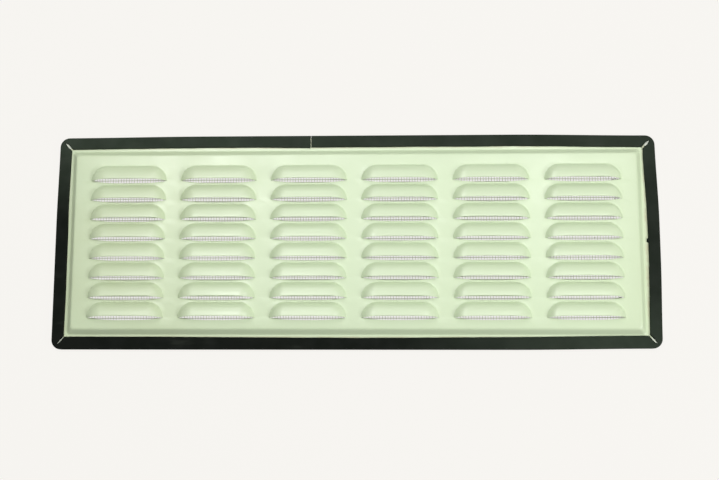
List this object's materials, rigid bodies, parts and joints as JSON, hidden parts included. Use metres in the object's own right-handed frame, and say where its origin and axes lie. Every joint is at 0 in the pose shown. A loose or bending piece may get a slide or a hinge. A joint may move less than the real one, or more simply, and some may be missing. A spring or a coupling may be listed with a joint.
{
  "type": "louvred sheet metal vent panel",
  "caption": "Flat louvred vent panel of pressed sheet steel, backed by woven wire mesh and edged with a rubber channel.",
  "frame": {"origin": "under the middle of the panel, on the plane that its rear face lies on", "axes": "+X along the panel's length, +Y towards its top edge, +Z out of its louvred face"},
  "size_m": [0.7, 0.25, 0.0193],
  "materials": {
    "painted_sheet": "semi-gloss pale green paint",
    "wire_mesh": "dull galvanised wire",
    "rubber": "matt black rubber"
  },
  "bodies": {
    "root": {"louvre_panel": "painted_sheet", "mesh_screen": "wire_mesh", "edge_seal": "rubber"}
  },
  "joints": []
}
